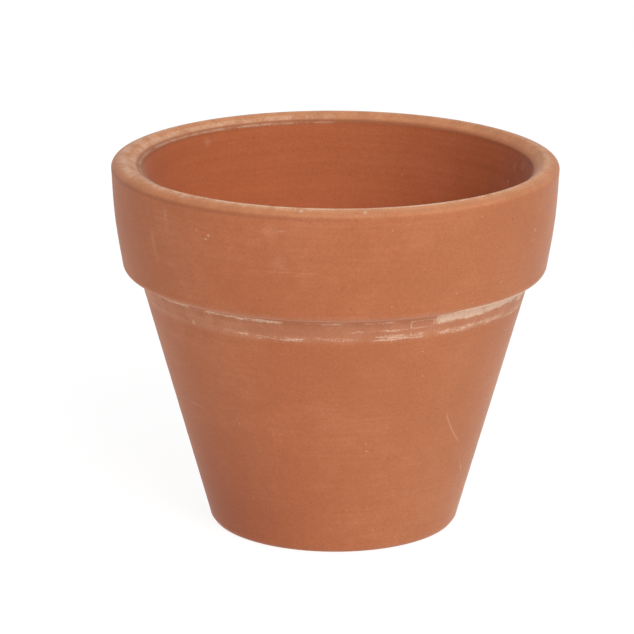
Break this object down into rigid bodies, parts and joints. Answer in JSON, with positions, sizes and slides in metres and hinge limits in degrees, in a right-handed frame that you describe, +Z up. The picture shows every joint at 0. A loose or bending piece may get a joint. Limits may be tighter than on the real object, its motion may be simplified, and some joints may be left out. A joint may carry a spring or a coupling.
{
  "type": "terracotta plant pot",
  "caption": "Round tapered clay plant pot with a thick rim band, a rounded lip and one drain hole through its flat base.",
  "frame": {"origin": "centre of the foot, on the plane that the pot stands on", "axes": "+Z up the pot's axis towards the mouth; the pot is round about +Z, so X and Y are free"},
  "size_m": [0.1498, 0.1498, 0.1255],
  "materials": {
    "terracotta": "matte, unglazed, slightly dusty"
  },
  "bodies": {
    "root": {"pot": "terracotta"}
  },
  "joints": []
}
